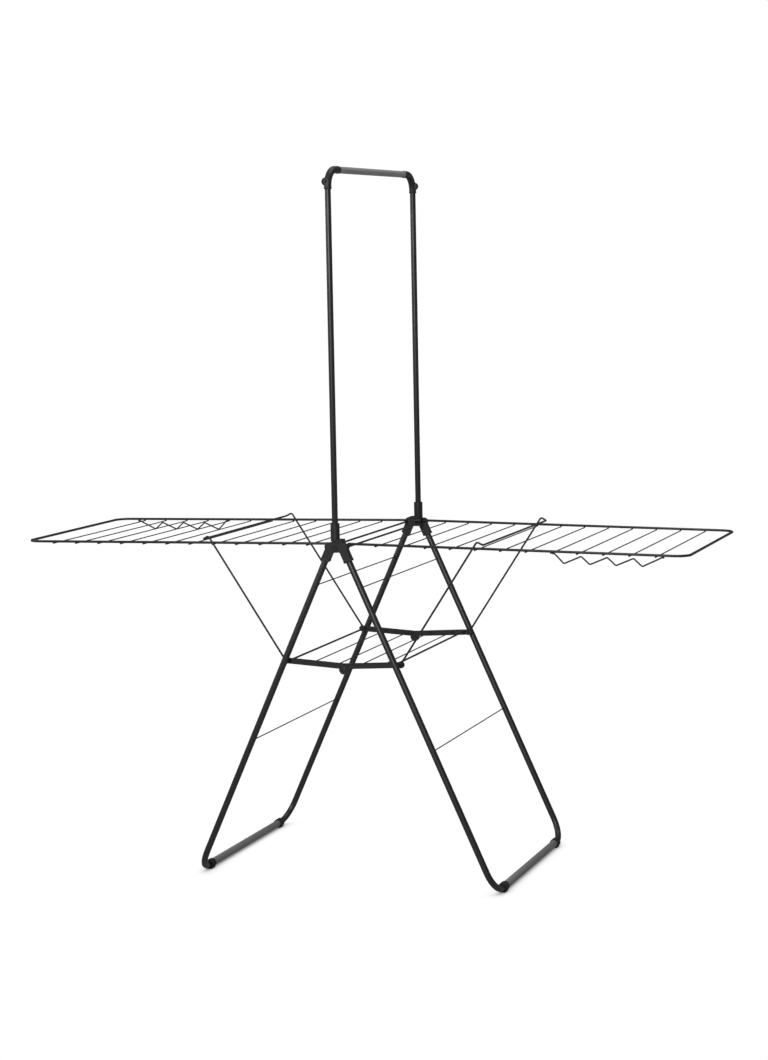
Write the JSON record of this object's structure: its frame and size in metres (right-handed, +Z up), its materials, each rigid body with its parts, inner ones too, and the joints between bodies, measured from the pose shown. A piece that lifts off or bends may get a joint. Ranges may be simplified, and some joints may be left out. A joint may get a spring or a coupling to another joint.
{
  "type": "folding clothes airer",
  "caption": "Free-standing winged clothes airer with scissor leg frames, wire bows under fold-down wings, a folding shelf and a lift-out hanging rod.",
  "frame": {"origin": "on the floor, under the middle of the airer", "axes": "+Z up, X along the two wings, Y across between the side rails"},
  "size_m": [1.754, 0.6504, 1.7897],
  "materials": {
    "black_tube": "matt powder coat",
    "black_wire": "matt powder coat",
    "black_plastic": "moulded, fine texture",
    "black_rubber": "soft matt",
    "grey_sleeve": "satin",
    "grey_rod": "satin, faint lengthwise lines",
    "steel": "blackened steel"
  },
  "bodies": {
    "hinge_core": {"hinge_core_near": "black_plastic", "hinge_core_far": "black_plastic", "hinge_pin_near": "steel", "hinge_pin_far": "steel", "socket_screws": "steel"},
    "rod_frame": {"upright_near": "black_tube", "upright_far": "black_tube", "elbow_near": "black_plastic", "elbow_far": "black_plastic", "elbow_screws": "steel", "hanging_rod": "grey_rod"},
    "left_frame": {"left_leg_tube": "black_tube", "left_casting_outer": "black_plastic", "left_casting_inner": "black_plastic", "left_foot_sleeve": "grey_sleeve", "left_foot_caps": "black_rubber", "left_leg_wire_upper": "black_wire", "left_leg_wire_lower": "black_wire", "left_studs": "steel"},
    "right_frame": {"right_leg_tube": "black_tube", "right_casting_outer": "black_plastic", "right_casting_inner": "black_plastic", "right_foot_sleeve": "grey_sleeve", "right_foot_caps": "black_rubber", "right_leg_wire_upper": "black_wire", "right_leg_wire_lower": "black_wire", "right_studs": "steel"},
    "left_wing": {"left_wing_rail": "black_wire", "left_wing_axle": "black_wire", "left_wing_wires": "black_wire", "left_wing_zigzag": "black_wire"},
    "right_wing": {"right_wing_rail": "black_wire", "right_wing_axle": "black_wire", "right_wing_wires": "black_wire", "right_wing_zigzag": "black_wire"},
    "left_bow": {"left_wing_bow": "black_wire"},
    "right_bow": {"right_wing_bow": "black_wire"},
    "left_shelf": {"left_shelf_bar_near": "black_plastic", "left_shelf_bar_far": "black_plastic", "left_shelf_wires": "black_wire", "shelf_pivots": "steel"},
    "right_shelf": {"right_shelf_bar_near": "black_plastic", "right_shelf_bar_far": "black_plastic", "right_shelf_wires": "black_wire"}
  },
  "joints": [
    {"name": "rod_lift_out", "type": "slide", "parent": "hinge_core", "child": "rod_frame", "axis": [0, 0, 1], "range_m": [0, 0.08]},
    {"name": "left_leg_fold", "type": "hinge", "parent": "hinge_core", "child": "left_frame", "pos_m": [0, 0, 0.85525], "axis": [0, -1, 0], "range_deg": [0, 24.2]},
    {"name": "right_leg_fold", "type": "hinge", "parent": "hinge_core", "child": "right_frame", "pos_m": [0, 0, 0.85525], "axis": [0, 1, 0], "range_deg": [0, 24.2]},
    {"name": "left_wing_fold", "type": "hinge", "parent": "left_frame", "child": "left_wing", "pos_m": [-0.023, 0, 0.85525], "axis": [0, -1, 0], "range_deg": [0, 62]},
    {"name": "right_wing_fold", "type": "hinge", "parent": "right_frame", "child": "right_wing", "pos_m": [0.023, 0, 0.85525], "axis": [0, 1, 0], "range_deg": [0, 62]},
    {"name": "left_bow_fold", "type": "hinge", "parent": "left_frame", "child": "left_bow", "pos_m": [-0.15177, 0, 0.562], "axis": [0, -1, 0], "range_deg": [0, 106.74]},
    {"name": "right_bow_fold", "type": "hinge", "parent": "right_frame", "child": "right_bow", "pos_m": [0.15177, 0, 0.562], "axis": [0, 1, 0], "range_deg": [0, 106.74]},
    {"name": "left_shelf_fold", "type": "hinge", "parent": "left_frame", "child": "left_shelf", "pos_m": [-0.15177, 0, 0.562], "axis": [0, -1, 0], "range_deg": [0, 65.7]},
    {"name": "right_shelf_fold", "type": "hinge", "parent": "left_shelf", "child": "right_shelf", "pos_m": [0, 0, 0.5443], "axis": [0, 1, 0], "range_deg": [0, 179.71]}
  ],
  "couplings": [
    {"joint": "right_leg_fold", "follows": "left_leg_fold", "ratio": 1},
    {"joint": "left_shelf_fold", "follows": "left_leg_fold", "ratio": 2.7109},
    {"joint": "right_shelf_fold", "follows": "left_leg_fold", "ratio": 7.4218},
    {"joint": "left_bow_fold", "follows": "left_wing_fold", "ratio": 1.72},
    {"joint": "right_bow_fold", "follows": "right_wing_fold", "ratio": 1.72}
  ]
}
